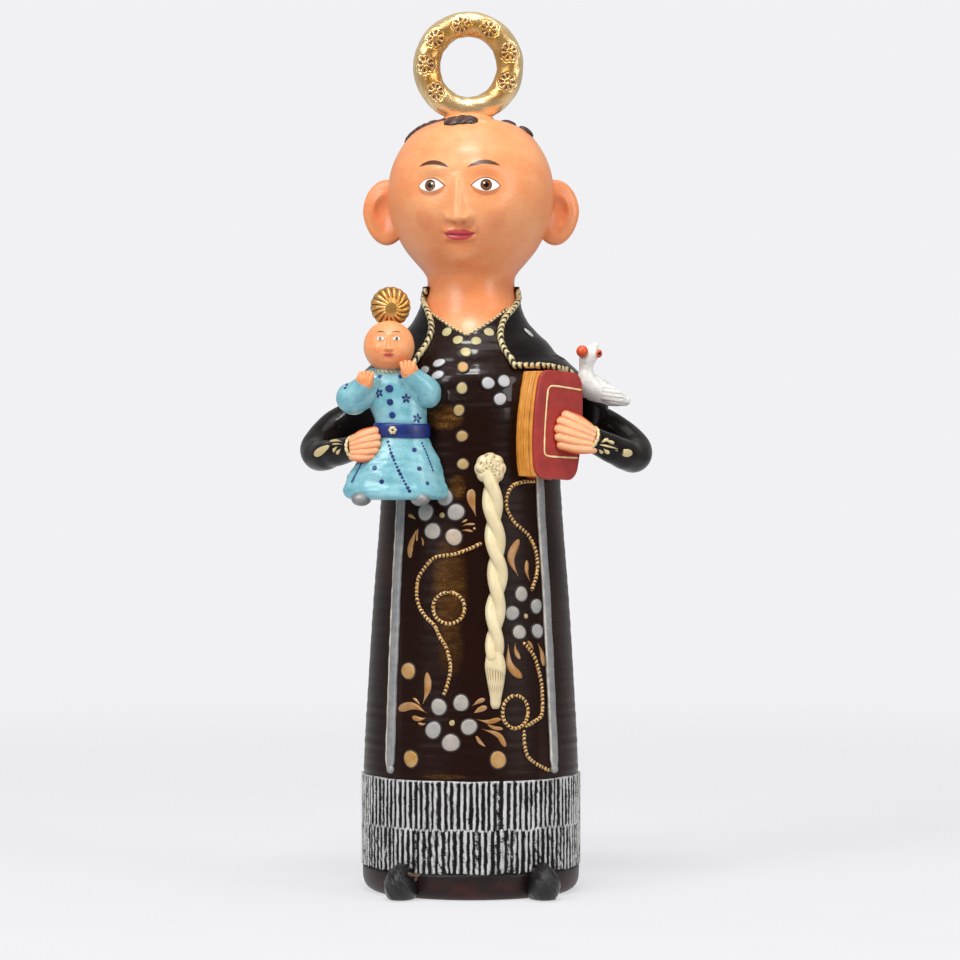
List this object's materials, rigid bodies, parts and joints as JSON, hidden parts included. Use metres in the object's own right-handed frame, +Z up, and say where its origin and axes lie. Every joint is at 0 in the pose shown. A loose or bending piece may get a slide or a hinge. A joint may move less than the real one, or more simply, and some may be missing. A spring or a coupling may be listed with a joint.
{
  "type": "ceramic saint statuette",
  "caption": "Standing folk-style clay saint in a dark robe with a ring halo, holding a child and a book, with a dove on the arm.",
  "frame": {"origin": "centre of the flat underside, where the turning axis meets the surface the figure stands on", "axes": "+Z up the turning axis to the ring halo, -Y the way the figure faces, +X towards the figure's left hand"},
  "size_m": [0.1608, 0.1045, 0.4],
  "materials": {
    "statuette": "gloss paint over fired clay, with gold and silver touches"
  },
  "bodies": {
    "root": {"statuette": "statuette"}
  },
  "joints": []
}
